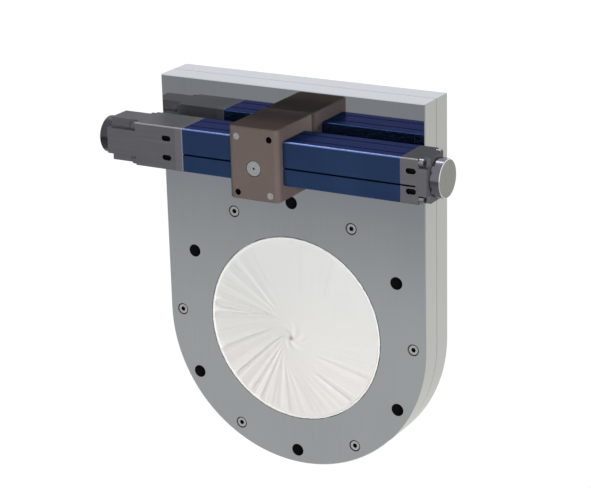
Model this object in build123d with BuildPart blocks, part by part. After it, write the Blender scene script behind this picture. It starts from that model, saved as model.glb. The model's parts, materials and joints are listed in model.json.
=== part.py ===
from build123d import *
import os
from math import acos, atan2, cos, degrees, floor, pi, radians, sin, tan

os.makedirs("parts", exist_ok=True)

# Iris valve, millimetres. Y runs along the bore, Z up, and the origin is the bore's centre on the rear face.
# The front face and the drive look along -Y.

# Housing
housing_thickness = 50.0
housing_radius = 151.0
housing_over_shaft = 63.7
housing_edge_chamfer = 0.8
gasket_thickness = 0.5
front_bore_radius = 97.5
rear_bore_radius = 98.5
mouth_radius = 100.0
mouth_depth = 6.0
pitch_circle_radius = 136.75
flange_hole_count = 6
flange_hole_radius = 6.75
dowel_radius = 4.0
dowel_reach = 12.0
dowel_inset = 21.0

# Housing screws
screw_count = 6
screw_shank_radius = 3.0
screw_head_radius = 5.0
screw_head_height = 6.0
screw_counterbore_radius = 6.3
screw_counterbore_depth = 6.6
screw_socket_radius = 2.7
screw_end_wall = 8.0

# Fits
fit_gap = 0.05
cloth_gap = 0.3
running_gap = 0.3
head_gap = 0.2
cut_margin = 1.0

# Gear train in the housing
gear_module = 2.0
ring_teeth = 118
idler_slack = 19.0
drive_teeth = 37
gear_width = 16.0
tooth_addendum = 0.95
tooth_dedendum = 1.25
tooth_backlash = 0.25
pressure_angle = 20.0
chamber_half_depth = 11.0
chamber_gap = 1.5

# Turning ring
rotor_bore_radius = 98.0
rotor_lip_wall = 6.0
slide_ring_width = 8.0
rotor_ridge_width = 2.9
hem_groove_depth = 3.6
hem_groove_front = 4.2
hem_groove_rear = 3.0

# Sleeve
cloth_thickness = 1.0
sleeve_rim_gap = 1.5
knot_proud = 7.0
knot_radius = 8.0
bead_radius = 1.3
front_hem_length = 4.6
clamp_ring_thickness = 1.6

# Drive shaft
shaft_height = 192.0
shaft_front_radius = 7.5
shaft_window_radius = 8.25
shaft_rear_radius = 8.5
shaft_gear_seat_radius = 8.0
shaft_tail_radius = 6.0
shaft_end_recess = 0.6
centre_hole_radius = 1.1
window_depth = 6.7
front_bush_clearance = 2.0
bush_wall = 2.5
rear_bush_clearance = 6.0
seal_length = 5.0
tail_bush_length = 9.0
key_width = 5.0
key_depth = 2.5
key_length = 12.0
circlip_thickness = 1.2
circlip_groove_depth = 0.7
circlip_rise = 2.0
drive_hub_radius = 16.0
idler_pin_radius = 7.0
idler_pin_reach = 20.0
idler_bush_wall = 3.0
washer_rim = 2.0

# Rack and pinion
rack_module = 1.5
pinion_teeth = 16
pinion_width = 22.0
pinion_pocket_gap = 2.1
rack_addendum = 0.9
rack_dedendum = 1.2
open_angle = 180.0
piston_length = 12.0
piston_rest_gap = 0.8
cylinder_radius = 16.0
piston_gap = 0.08
piston_groove_width = 3.2
piston_groove_depth = 2.4
piston_screw_radius = 2.0
piston_screw_head_radius = 3.5
piston_screw_head_height = 4.0
piston_screw_reach = 10.0
piston_screw_rise = 10.3
rack_end_margin = 1.5

# Drive block
block_width = 56.0
block_below_shaft = 32.4
block_above_shaft = 41.5
block_front_wall = 9.2
block_corner_fillet = 5.0
block_edge_chamfer = 1.0
block_screw_offset = 18.3
block_screw_top_inset = 10.5
block_screw_bottom_inset = 6.8
block_screw_radius = 2.0
block_screw_head_radius = 3.5
block_screw_head_height = 4.0
block_screw_reach = 11.0
block_tapped_radius = 3.25
block_tapped_depth = 11.0

# Barrels and end caps
barrel_size = 45.0
barrel_over_shaft = 6.0
barrel_gap = 17.5
barrel_fillet = 1.6
groove_width = 1.8
groove_depth = 2.2
front_groove_drop = 4.5
top_groove_offset = 10.0
right_barrel_end = 155.3
left_barrel_end = 87.3
flange_length = 8.3
right_cap_step = 174.0
right_cap_end = 183.0
left_cap_step = 144.0
left_cap_end = 178.0
cap_notch = 9.0
cap_notch_fillet = 3.0
cap_fillet = 1.2
cap_slot_length = 10.6
cap_slot_width = 5.6
cap_slot_depth = 5.0
cap_slot_offset = 10.0
right_slot_inset = 11.2
left_slot_inset = 11.0
cap_slit_length = 16.0
tie_screw_radius = 2.5
tie_screw_head_radius = 4.2
tie_screw_head_height = 5.0
tie_screw_reach = 12.0
tie_socket_radius = 2.2
port_radius = 4.28
port_depth = 9.0
port_inset = 3.0
port_passage_radius = 2.0
end_recess_radius = 8.0
left_recess_depth = 12.0
right_recess_depth = 20.0

seal_inner_radius = 17.0
seal_width = 2.1
seal_depth = 1.2

# End stops
knob_radius = 19.2
knob_gap = 1.2
neck_radius = 14.5
right_knob_length = 10.0
left_knob_length = 11.0
knob_end_wall = 2.6
knob_edge = 0.8
journal_radius = 9.0
journal_length = 2.6
spindle_radius = 4.0
spindle_travel = 3.0
stop_gap = 0.3

# Worked out from the sizes above
front_y = -housing_thickness
mid_y = front_y / 2
front_joint_y = mid_y - gasket_thickness / 2
rear_joint_y = mid_y + gasket_thickness / 2
ring_pitch_radius = gear_module * ring_teeth / 2
drive_pitch_radius = gear_module * drive_teeth / 2
idler_span = shaft_height + idler_slack - ring_pitch_radius - drive_pitch_radius
idler_teeth = round(idler_span / gear_module)
idler_pitch_radius = gear_module * idler_teeth / 2
pinion_pitch_radius = rack_module * pinion_teeth / 2
rack_pitch = pi * rack_module
rack_line = shaft_height + pinion_pitch_radius
stroke = radians(open_angle) * ring_teeth / drive_teeth * pinion_pitch_radius
slide_ring_inner_radius = rotor_bore_radius + rotor_lip_wall
slide_ring_outer_radius = slide_ring_inner_radius + slide_ring_width
drive_y = front_y - barrel_gap - barrel_size / 2
half_pinion = pinion_width / 2
front_bush_length = barrel_size / 2 + block_front_wall - window_depth - half_pinion - front_bush_clearance
rear_bush_length = barrel_gap + barrel_size / 2 - half_pinion - seal_length - rear_bush_clearance
housing_top = shaft_height + housing_over_shaft
barrel_height = shaft_height + barrel_over_shaft
block_depth = barrel_gap + barrel_size + block_front_wall
block_bottom = shaft_height - block_below_shaft
block_top = shaft_height + block_above_shaft
block_screw_upper = block_top - block_screw_top_inset
block_screw_lower = block_bottom + block_screw_bottom_inset
block_front_y = front_y - block_depth
pocket_radius = pinion_pitch_radius + pinion_pocket_gap
chamber_reach = gear_module + chamber_gap
piston_inner = pocket_radius + piston_rest_gap
cylinder_end = piston_inner + stroke + piston_length + 2 * stop_gap
piston_radius = cylinder_radius - piston_gap
rack_centre = stroke / 2
rod_corner = barrel_size / 2 - cap_notch / 2

# The idler's centre closes the triangle of ring, idler and drive gear.
ring_to_idler = ring_pitch_radius + idler_pitch_radius
idler_to_drive = idler_pitch_radius + drive_pitch_radius
idler_tilt = acos(
    (ring_to_idler**2 + shaft_height**2 - idler_to_drive**2) / (2 * ring_to_idler * shaft_height)
)
idler_x = ring_to_idler * sin(idler_tilt)
idler_z = ring_to_idler * cos(idler_tilt)


def upright(y):
    """Plane across the bore at y: its own x and y are X and Z, and it looks at the front."""
    return Plane.XZ.offset(-y)


def across(x):
    """Plane across the drive's barrels at x: its own x and y are Y and Z."""
    return Plane.YZ.offset(x)


def mesh_phase(angle, phase, teeth, next_teeth):
    """Turn of the next gear, in degrees, that puts a gap over this gear's tooth along angle."""
    share = (angle - phase) * teeth / 360
    return angle + 180 + (share + 0.5) * 360 / next_teeth


ring_phase = 0.0
ring_idler_angle = degrees(atan2(idler_z, idler_x))
idler_phase = mesh_phase(ring_idler_angle, ring_phase, ring_teeth, idler_teeth)
idler_drive_angle = degrees(atan2(shaft_height - idler_z, -idler_x))
drive_phase = mesh_phase(idler_drive_angle, idler_phase, idler_teeth, drive_teeth)
pinion_phase = drive_phase


def gear_points(module, teeth, phase):
    """Outline of a spur gear: three points up each involute flank, straight between them."""
    pitch = module * teeth / 2
    base = pitch * cos(radians(pressure_angle))
    half_tooth = pi / (2 * teeth) - tooth_backlash / (2 * pitch)
    radii = [pitch - tooth_dedendum * module, pitch, pitch + tooth_addendum * module]

    def half_angle(radius):
        at = acos(min(1.0, base / radius))
        start = radians(pressure_angle)
        return half_tooth + (tan(start) - start) - (tan(at) - at)

    points = []
    for tooth in range(teeth):
        middle = radians(phase) + 2 * pi * tooth / teeth
        for side, order in ((-1, radii), (1, radii[::-1])):
            for radius in order:
                angle = middle + side * half_angle(radius)
                points.append((radius * cos(angle), radius * sin(angle)))
    return points


def gear_face(module, teeth, phase, centre=(0, 0)):
    """Adds a gear's outline to the sketch that is being drawn."""
    Polygon(*[(centre[0] + x, centre[1] + y) for x, y in gear_points(module, teeth, phase)], align=None)


def housing_outline():
    """Half circle below the bore's centre, square corners above it."""
    Circle(housing_radius)
    Rectangle(2 * housing_radius, housing_top, align=(Align.CENTER, Align.MIN))


def chamber_outline():
    """Room for the three gears, in the joint face."""
    Circle(ring_pitch_radius + chamber_reach)
    with Locations((idler_x, idler_z)):
        Circle(idler_pitch_radius + chamber_reach)
    with Locations((0, shaft_height)):
        Circle(drive_pitch_radius + chamber_reach)


def ring_section(inner, outer, y_low, y_high):
    """Rectangle of a ring's section; inner and outer are radii about the bore."""
    with Locations(((inner + outer) / 2, (y_low + y_high) / 2)):
        Rectangle(outer - inner, y_high - y_low)


dowel_x = housing_radius - dowel_inset
dowel_z = housing_top - dowel_inset
block_middle_z = (block_bottom + block_top) / 2
shaft_axis = Axis((0, 0, shaft_height), (0, 1, 0))
lip_radius = slide_ring_inner_radius - fit_gap
lip_half_depth = gear_width / 2 + running_gap
half_thickness = (housing_thickness - gasket_thickness) / 2
screw_seat_y = front_y + screw_counterbore_depth

# Front half of the housing
with BuildPart() as front_housing:
    with BuildSketch(upright(front_joint_y)):
        housing_outline()
    extrude(amount=half_thickness)
    front_edges = front_housing.faces().sort_by(Axis.Y)[0].outer_wire().edges()
    chamfer(front_edges, housing_edge_chamfer)
    with BuildSketch(upright(front_joint_y)):
        chamber_outline()
        Circle(lip_radius, mode=Mode.SUBTRACT)
    extrude(amount=front_joint_y - (mid_y - chamber_half_depth), mode=Mode.SUBTRACT)
    with BuildSketch(upright(front_joint_y)):
        Circle(lip_radius)
    extrude(amount=lip_half_depth - gasket_thickness / 2, mode=Mode.SUBTRACT)
    with BuildSketch(upright(front_joint_y)):
        Circle(front_bore_radius)
        with PolarLocations(pitch_circle_radius, flange_hole_count, start_angle=90):
            Circle(flange_hole_radius)
        with PolarLocations(pitch_circle_radius, screw_count):
            Circle(screw_shank_radius + fit_gap)
        with Locations((0, shaft_height)):
            Circle(shaft_rear_radius + running_gap)
    extrude(amount=half_thickness, mode=Mode.SUBTRACT)
    with BuildSketch(upright(front_y)):
        with PolarLocations(pitch_circle_radius, screw_count):
            Circle(screw_counterbore_radius)
    extrude(amount=-screw_counterbore_depth, mode=Mode.SUBTRACT)
    with BuildSketch(upright(front_y)):
        Circle(mouth_radius)
    extrude(amount=-mouth_depth, mode=Mode.SUBTRACT)
    with BuildSketch(upright(front_y)):
        with Locations((-block_screw_offset, block_screw_upper), (block_screw_offset, block_screw_lower)):
            Circle(block_screw_radius + fit_gap)
    extrude(amount=-block_screw_reach - fit_gap, mode=Mode.SUBTRACT)
    with BuildSketch(upright(front_joint_y)):
        with Locations((-dowel_x, dowel_z), (dowel_x, dowel_z)):
            Circle(dowel_radius + fit_gap)
    extrude(amount=dowel_reach, mode=Mode.SUBTRACT)
    with BuildSketch(upright(front_joint_y)):
        with Locations((idler_x, idler_z)):
            Circle(idler_pin_radius + fit_gap)
    extrude(amount=idler_pin_reach, mode=Mode.SUBTRACT)
front_housing.part.label = "front_housing"
export_step(front_housing.part, "parts/front_housing.step")

# Rear half of the housing
with BuildPart() as rear_housing:
    with BuildSketch(upright(rear_joint_y)):
        housing_outline()
    extrude(amount=-half_thickness)
    rear_edges = rear_housing.faces().sort_by(Axis.Y)[-1].outer_wire().edges()
    chamfer(rear_edges, housing_edge_chamfer)
    with BuildSketch(upright(rear_joint_y)):
        chamber_outline()
        Circle(lip_radius, mode=Mode.SUBTRACT)
    extrude(amount=rear_joint_y - (mid_y + chamber_half_depth), mode=Mode.SUBTRACT)
    with BuildSketch(upright(rear_joint_y)):
        Circle(lip_radius)
    extrude(amount=gasket_thickness / 2 - lip_half_depth, mode=Mode.SUBTRACT)
    with BuildSketch(upright(rear_joint_y)):
        Circle(rear_bore_radius)
        with PolarLocations(pitch_circle_radius, flange_hole_count, start_angle=90):
            Circle(flange_hole_radius)
    extrude(amount=-half_thickness, mode=Mode.SUBTRACT)
    with BuildSketch(upright(rear_joint_y)):
        with PolarLocations(pitch_circle_radius, screw_count):
            Circle(screw_shank_radius + fit_gap)
    extrude(amount=screw_end_wall - half_thickness - fit_gap, mode=Mode.SUBTRACT)
    with BuildSketch(upright(rear_joint_y)):
        with Locations((-dowel_x, dowel_z), (dowel_x, dowel_z)):
            Circle(dowel_radius + fit_gap)
    extrude(amount=-dowel_reach, mode=Mode.SUBTRACT)
    with BuildSketch(upright(rear_joint_y)):
        with Locations((idler_x, idler_z)):
            Circle(idler_pin_radius + fit_gap)
    extrude(amount=-idler_pin_reach, mode=Mode.SUBTRACT)
    with BuildSketch(upright(mid_y + chamber_half_depth)):
        with Locations((0, shaft_height)):
            Circle(shaft_tail_radius + bush_wall + fit_gap)
    extrude(amount=-tail_bush_length, mode=Mode.SUBTRACT)
rear_housing.part.label = "rear_housing"
export_step(rear_housing.part, "parts/rear_housing.step")

# Gasket in the joint, cut out over the gears and the holes
with BuildPart() as housing_gasket:
    with BuildSketch(upright(rear_joint_y)):
        housing_outline()
        with PolarLocations(pitch_circle_radius, flange_hole_count, start_angle=90):
            Circle(flange_hole_radius, mode=Mode.SUBTRACT)
        with PolarLocations(pitch_circle_radius, screw_count):
            Circle(screw_shank_radius + fit_gap, mode=Mode.SUBTRACT)
        with Locations((-dowel_x, dowel_z), (dowel_x, dowel_z)):
            Circle(dowel_radius + fit_gap, mode=Mode.SUBTRACT)
    extrude(amount=gasket_thickness)
    with BuildSketch(upright(rear_joint_y)):
        chamber_outline()
    extrude(amount=gasket_thickness, mode=Mode.SUBTRACT)
housing_gasket.part.label = "housing_gasket"
export_step(housing_gasket.part, "parts/housing_gasket.step")

# Cap screws that hold the halves together
with BuildPart() as housing_screws:
    with BuildSketch(upright(screw_seat_y)):
        with PolarLocations(pitch_circle_radius, screw_count):
            Circle(screw_head_radius)
    extrude(amount=screw_head_height)
    with BuildSketch(upright(screw_seat_y)):
        with PolarLocations(pitch_circle_radius, screw_count):
            Circle(screw_shank_radius)
    extrude(amount=screw_seat_y + screw_end_wall)
    with BuildSketch(upright(screw_seat_y - screw_head_height)):
        with PolarLocations(pitch_circle_radius, screw_count):
            RegularPolygon(screw_socket_radius, 6)
    extrude(amount=-screw_head_height / 2, mode=Mode.SUBTRACT)
housing_screws.part.label = "housing_screws"
export_step(housing_screws.part, "parts/housing_screws.step")

# Dowel pins across the joint
with BuildPart() as dowel_pins:
    with BuildSketch(upright(mid_y)):
        with Locations((-dowel_x, dowel_z), (dowel_x, dowel_z)):
            Circle(dowel_radius)
    extrude(amount=dowel_reach, both=True)
dowel_pins.part.label = "dowel_pins"
export_step(dowel_pins.part, "parts/dowel_pins.step")

# Turning ring: external teeth, a ridge on each side round the slide rings, a groove for the hem
groove_floor = rotor_bore_radius + hem_groove_depth
ridge_inner = slide_ring_outer_radius + fit_gap
ridge_half = chamber_half_depth - running_gap
with BuildPart() as ring_gear:
    with BuildSketch(upright(mid_y + gear_width / 2)):
        gear_face(gear_module, ring_teeth, ring_phase)
        Circle(rotor_bore_radius, mode=Mode.SUBTRACT)
    extrude(amount=gear_width)
    with BuildSketch(Plane.XY):
        ring_section(ridge_inner, ridge_inner + rotor_ridge_width, mid_y - ridge_half, mid_y + ridge_half)
    revolve(axis=Axis.Y)
    with BuildSketch(Plane.XY):
        ring_section(
            rotor_bore_radius - cut_margin, groove_floor, mid_y - hem_groove_front, mid_y + hem_groove_rear
        )
    revolve(axis=Axis.Y, mode=Mode.SUBTRACT)
ring_gear.part.label = "ring_gear"
export_step(ring_gear.part, "parts/ring_gear.step")


def slide_ring(side):
    """Plain bearing ring beside the turning ring; side is -1 in front and 1 behind."""
    near = mid_y + side * (gear_width / 2 + fit_gap)
    far = mid_y + side * chamber_half_depth
    with BuildPart() as ring:
        with BuildSketch(Plane.XY):
            ring_section(slide_ring_inner_radius, slide_ring_outer_radius, min(near, far), max(near, far))
        revolve(axis=Axis.Y)
    return ring.part


front_slide_ring = slide_ring(-1)
front_slide_ring.label = "front_slide_ring"
export_step(front_slide_ring, "parts/front_slide_ring.step")

rear_slide_ring = slide_ring(1)
rear_slide_ring.label = "rear_slide_ring"
export_step(rear_slide_ring, "parts/rear_slide_ring.step")

# Rings that hold the two hems of the sleeve
front_hem_outer = mouth_radius - cloth_gap
front_clamp_outer = front_hem_outer - cloth_thickness - cloth_gap
front_clamp_inner = front_clamp_outer - clamp_ring_thickness
front_clamp_front = front_y + bead_radius + cloth_gap
front_clamp_rear = front_y + mouth_depth
with BuildPart() as front_clamp_ring:
    with BuildSketch(Plane.XY):
        ring_section(front_clamp_inner, front_clamp_outer, front_clamp_front, front_clamp_rear)
    revolve(axis=Axis.Y)
front_clamp_ring.part.label = "front_clamp_ring"
export_step(front_clamp_ring.part, "parts/front_clamp_ring.step")

rotor_hem_outer = groove_floor - cloth_gap
rotor_clamp_outer = rotor_hem_outer - cloth_thickness - cloth_gap
rotor_clamp_inner = rotor_clamp_outer - clamp_ring_thickness
rotor_clamp_front = mid_y - hem_groove_front + cloth_thickness + 2 * cloth_gap
rotor_clamp_rear = mid_y + hem_groove_rear
with BuildPart() as rotor_clamp_ring:
    with BuildSketch(Plane.XY):
        ring_section(rotor_clamp_inner, rotor_clamp_outer, rotor_clamp_front, rotor_clamp_rear)
    revolve(axis=Axis.Y)
rotor_clamp_ring.part.label = "rotor_clamp_ring"
export_step(rotor_clamp_ring.part, "parts/rotor_clamp_ring.step")

# Fabric sleeve, twisted shut: a front and a rear layer that meet in the knot
bead_r = mouth_radius - cloth_gap - bead_radius
layer_rim = rotor_bore_radius - sleeve_rim_gap
knot_front = front_y - knot_proud
knot_rear = knot_front + 3 * cloth_thickness
hem_end_y = mid_y + hem_groove_rear - cloth_gap
rear_layer_front = mid_y - hem_groove_front + cloth_gap
rear_layer_rear = rear_layer_front + cloth_thickness
with BuildPart() as iris_sleeve:
    with BuildSketch(Plane.XY):
        with BuildLine():
            Polyline(
                (0, knot_front),
                (knot_radius, knot_front + cloth_thickness),
                (bead_r, front_y - cloth_thickness / 2),
                (bead_r, front_y + cloth_thickness / 2),
                (knot_radius, knot_front + 2 * cloth_thickness),
                (layer_rim, rear_layer_front),
                (rotor_hem_outer, rear_layer_front),
                (rotor_hem_outer, hem_end_y),
                (rotor_hem_outer - cloth_thickness, hem_end_y),
                (rotor_hem_outer - cloth_thickness, rear_layer_rear),
                (layer_rim, rear_layer_rear),
                (0, knot_rear),
                close=True,
            )
        make_face()
        with Locations((bead_r, front_y)):
            Circle(bead_radius)
        ring_section(front_hem_outer - cloth_thickness, front_hem_outer, front_y, front_y + front_hem_length)
    revolve(axis=Axis.Y)
iris_sleeve.part.label = "iris_sleeve"
export_step(iris_sleeve.part, "parts/iris_sleeve.step")

# Idler between the ring and the drive gear, on a bushed pin between the halves
idler_bush_radius = idler_pin_radius + idler_bush_wall
with BuildPart() as idler_gear:
    with BuildSketch(upright(mid_y + gear_width / 2)):
        gear_face(gear_module, idler_teeth, idler_phase, (idler_x, idler_z))
        with Locations((idler_x, idler_z)):
            Circle(idler_bush_radius, mode=Mode.SUBTRACT)
    extrude(amount=gear_width)
idler_gear.part.label = "idler_gear"
export_step(idler_gear.part, "parts/idler_gear.step")

with BuildPart() as idler_bush:
    with BuildSketch(upright(mid_y + gear_width / 2)):
        with Locations((idler_x, idler_z)):
            Circle(idler_bush_radius)
            Circle(idler_pin_radius + fit_gap, mode=Mode.SUBTRACT)
    extrude(amount=gear_width)
idler_bush.part.label = "idler_bush"
export_step(idler_bush.part, "parts/idler_bush.step")

with BuildPart() as idler_pin:
    with BuildSketch(upright(mid_y)):
        with Locations((idler_x, idler_z)):
            Circle(idler_pin_radius)
    extrude(amount=idler_pin_reach, both=True)
idler_pin.part.label = "idler_pin"
export_step(idler_pin.part, "parts/idler_pin.step")

with BuildPart() as idler_washers:
    for washer_y in (mid_y - gear_width / 2 - fit_gap, mid_y + chamber_half_depth):
        with BuildSketch(upright(washer_y)):
            with Locations((idler_x, idler_z)):
                Circle(idler_bush_radius + washer_rim)
                Circle(idler_pin_radius + fit_gap, mode=Mode.SUBTRACT)
        extrude(amount=chamber_half_depth - gear_width / 2 - fit_gap)
idler_washers.part.label = "idler_washers"
export_step(idler_washers.part, "parts/idler_washers.step")

# Drive shaft with its pinion, stepped from the front end to the tail
shaft_front_y = block_front_y + shaft_end_recess
front_bush_y = block_front_y + window_depth
pinion_front_y = drive_y - half_pinion
pinion_rear_y = drive_y + half_pinion
seat_front_y = mid_y - chamber_half_depth
seat_rear_y = mid_y + chamber_half_depth
tail_end_y = seat_rear_y + tail_bush_length - running_gap
circlip_y = mid_y + gear_width / 2 + fit_gap
pinion_core = pinion_pitch_radius - tooth_dedendum * rack_module
circlip_groove_radius = shaft_gear_seat_radius - circlip_groove_depth
circlip_groove_end = circlip_y + circlip_thickness + fit_gap
with BuildPart() as drive_shaft:
    with BuildSketch(Plane.XY.offset(shaft_height)):
        with BuildLine():
            Polyline(
                (0, shaft_front_y),
                (shaft_front_radius, shaft_front_y),
                (shaft_front_radius, pinion_front_y),
                (pinion_core, pinion_front_y),
                (pinion_core, pinion_rear_y),
                (shaft_rear_radius, pinion_rear_y),
                (shaft_rear_radius, seat_front_y),
                (shaft_gear_seat_radius, seat_front_y),
                (shaft_gear_seat_radius, seat_rear_y),
                (shaft_tail_radius, seat_rear_y),
                (shaft_tail_radius, tail_end_y),
                (0, tail_end_y),
                close=True,
            )
        make_face()
    revolve(axis=shaft_axis)
    with BuildSketch(upright(pinion_rear_y)):
        gear_face(rack_module, pinion_teeth, pinion_phase, (0, shaft_height))
    extrude(amount=pinion_width)
    with BuildSketch(upright(shaft_front_y)):
        with Locations((0, shaft_height)):
            Circle(centre_hole_radius)
    extrude(amount=-2 * shaft_front_radius, mode=Mode.SUBTRACT)
    with BuildSketch(upright(mid_y + key_length / 2)):
        with Locations((0, shaft_height + shaft_gear_seat_radius)):
            Rectangle(key_width, 2 * key_depth)
    extrude(amount=key_length, mode=Mode.SUBTRACT)
    with BuildSketch(Plane.XY.offset(shaft_height)):
        ring_section(
            circlip_groove_radius, shaft_gear_seat_radius + cut_margin, circlip_y, circlip_groove_end
        )
    revolve(axis=shaft_axis, mode=Mode.SUBTRACT)
drive_shaft.part.label = "drive_shaft"
export_step(drive_shaft.part, "parts/drive_shaft.step")

# Drive gear, its key and its circlip
with BuildPart() as drive_gear:
    with BuildSketch(upright(mid_y + gear_width / 2)):
        gear_face(gear_module, drive_teeth, drive_phase, (0, shaft_height))
        with Locations((0, shaft_height)):
            Circle(shaft_gear_seat_radius + fit_gap, mode=Mode.SUBTRACT)
        with Locations((0, shaft_height + shaft_gear_seat_radius)):
            Rectangle(key_width + 2 * fit_gap, 2 * key_depth + 2 * fit_gap, mode=Mode.SUBTRACT)
    extrude(amount=gear_width)
    with BuildSketch(upright(mid_y - gear_width / 2)):
        with Locations((0, shaft_height)):
            Circle(drive_hub_radius)
            Circle(shaft_gear_seat_radius + fit_gap, mode=Mode.SUBTRACT)
    extrude(amount=chamber_half_depth - gear_width / 2 - running_gap)
drive_gear.part.label = "drive_gear"
export_step(drive_gear.part, "parts/drive_gear.step")

with BuildPart() as drive_key:
    with BuildSketch(upright(mid_y + key_length / 2)):
        with Locations((0, shaft_height + shaft_gear_seat_radius)):
            Rectangle(key_width, 2 * key_depth)
    extrude(amount=key_length)
drive_key.part.label = "drive_key"
export_step(drive_key.part, "parts/drive_key.step")

with BuildPart() as shaft_circlip:
    with BuildSketch(upright(circlip_y + circlip_thickness)):
        with Locations((0, shaft_height)):
            Circle(shaft_gear_seat_radius + circlip_rise)
            Circle(circlip_groove_radius + fit_gap, mode=Mode.SUBTRACT)
            with Locations((0, -shaft_gear_seat_radius)):
                Rectangle(shaft_gear_seat_radius, shaft_gear_seat_radius, mode=Mode.SUBTRACT)
    extrude(amount=circlip_thickness)
shaft_circlip.part.label = "shaft_circlip"
export_step(shaft_circlip.part, "parts/shaft_circlip.step")


def shaft_ring(inner, outer, y_low, y_high):
    """Plain ring about the drive shaft."""
    with BuildPart() as ring:
        with BuildSketch(upright(y_high)):
            with Locations((0, shaft_height)):
                Circle(outer)
                Circle(inner, mode=Mode.SUBTRACT)
        extrude(amount=y_high - y_low)
    return ring.part


front_bush_outer = shaft_front_radius + bush_wall
rear_bush_rear = front_y - seal_length
front_shaft_bush = shaft_ring(
    shaft_front_radius + fit_gap, front_bush_outer, front_bush_y, front_bush_y + front_bush_length
)
front_shaft_bush.label = "front_shaft_bush"
export_step(front_shaft_bush, "parts/front_shaft_bush.step")

rear_shaft_bush = shaft_ring(
    shaft_rear_radius + fit_gap, pocket_radius - fit_gap, rear_bush_rear - rear_bush_length, rear_bush_rear
)
rear_shaft_bush.label = "rear_shaft_bush"
export_step(rear_shaft_bush, "parts/rear_shaft_bush.step")

shaft_seal = shaft_ring(shaft_rear_radius + fit_gap, pocket_radius - fit_gap, rear_bush_rear, front_y)
shaft_seal.label = "shaft_seal"
export_step(shaft_seal, "parts/shaft_seal.step")

tail_bush = shaft_ring(
    shaft_tail_radius + fit_gap, shaft_tail_radius + bush_wall, seat_rear_y, seat_rear_y + tail_bush_length
)
tail_bush.label = "tail_bush"
export_step(tail_bush, "parts/tail_bush.step")


def seal_outline(gap=0.0):
    """Ring of a face seal about the cylinder, narrower by gap on both sides."""
    with Locations((drive_y, barrel_height)):
        Circle(seal_inner_radius + seal_width - gap)
        Circle(seal_inner_radius + gap, mode=Mode.SUBTRACT)


# Gear block of the drive
block_half = block_width / 2
with BuildPart() as drive_block:
    with BuildSketch(upright(front_y)):
        with Locations((0, block_middle_z)):
            Rectangle(block_width, block_top - block_bottom)
    extrude(amount=block_depth)
    fillet(drive_block.edges().filter_by(Axis.Z), block_corner_fillet)
    chamfer(drive_block.faces().sort_by(Axis.Z)[-1].edges(), block_edge_chamfer)
    chamfer(drive_block.faces().sort_by(Axis.Z)[0].edges(), block_edge_chamfer)
    with BuildSketch(across(-block_half)):
        with Locations((drive_y, barrel_height)):
            Circle(cylinder_radius)
    extrude(amount=block_width, mode=Mode.SUBTRACT)
    with BuildSketch(upright(block_front_y)):
        with Locations((0, shaft_height)):
            Circle(shaft_window_radius)
    extrude(amount=-block_depth, mode=Mode.SUBTRACT)
    with BuildSketch(upright(front_bush_y)):
        with Locations((0, shaft_height)):
            Circle(front_bush_outer + fit_gap)
    extrude(amount=front_bush_y - front_y, mode=Mode.SUBTRACT)
    with BuildSketch(upright(front_y)):
        with Locations((0, shaft_height)):
            Circle(pocket_radius)
    extrude(amount=front_y - (front_bush_y + front_bush_length), mode=Mode.SUBTRACT)
    with BuildSketch(upright(block_front_y)):
        with Locations((-block_screw_offset, block_screw_upper), (block_screw_offset, block_screw_lower)):
            Circle(block_screw_radius + fit_gap)
    extrude(amount=-block_depth, mode=Mode.SUBTRACT)
    with BuildSketch(upright(block_front_y)):
        with Locations((-block_screw_offset, block_screw_upper), (block_screw_offset, block_screw_lower)):
            Circle(block_screw_head_radius + head_gap)
    extrude(amount=-block_screw_head_height, mode=Mode.SUBTRACT)
    with BuildSketch(upright(block_front_y)):
        with Locations((block_screw_offset, block_screw_upper), (-block_screw_offset, block_screw_lower)):
            Circle(block_tapped_radius)
    extrude(amount=-block_tapped_depth, mode=Mode.SUBTRACT)
    for block_side in (-1, 1):
        with BuildSketch(across(block_side * block_half)):
            with Locations((drive_y, barrel_height)):
                with GridLocations(2 * rod_corner, 2 * rod_corner, 2, 2):
                    Circle(tie_screw_radius + fit_gap)
        extrude(amount=-block_side * tie_screw_reach, mode=Mode.SUBTRACT)
        with BuildSketch(across(block_side * block_half)):
            seal_outline()
        extrude(amount=-block_side * seal_depth, mode=Mode.SUBTRACT)
drive_block.part.label = "drive_block"
export_step(drive_block.part, "parts/drive_block.step")

with BuildPart() as block_screws:
    with BuildSketch(upright(front_y + block_screw_reach)):
        with Locations((-block_screw_offset, block_screw_upper), (block_screw_offset, block_screw_lower)):
            Circle(block_screw_radius)
    extrude(amount=block_screw_reach + block_depth - block_screw_head_height)
    with BuildSketch(upright(block_front_y + block_screw_head_height)):
        with Locations((-block_screw_offset, block_screw_upper), (block_screw_offset, block_screw_lower)):
            Circle(block_screw_head_radius)
    extrude(amount=block_screw_head_height)
block_screws.part.label = "block_screws"
export_step(block_screws.part, "parts/block_screws.step")


def square_section(size, edge_fillet):
    """Square across the drive's axis with rounded corners."""
    with Locations((drive_y, barrel_height)):
        RectangleRounded(size, size, edge_fillet)


def tie_holes(radius):
    """The four tie screw holes in the corners of the section."""
    with Locations((drive_y, barrel_height)):
        with GridLocations(2 * rod_corner, 2 * rod_corner, 2, 2):
            Circle(radius, mode=Mode.SUBTRACT)


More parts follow.
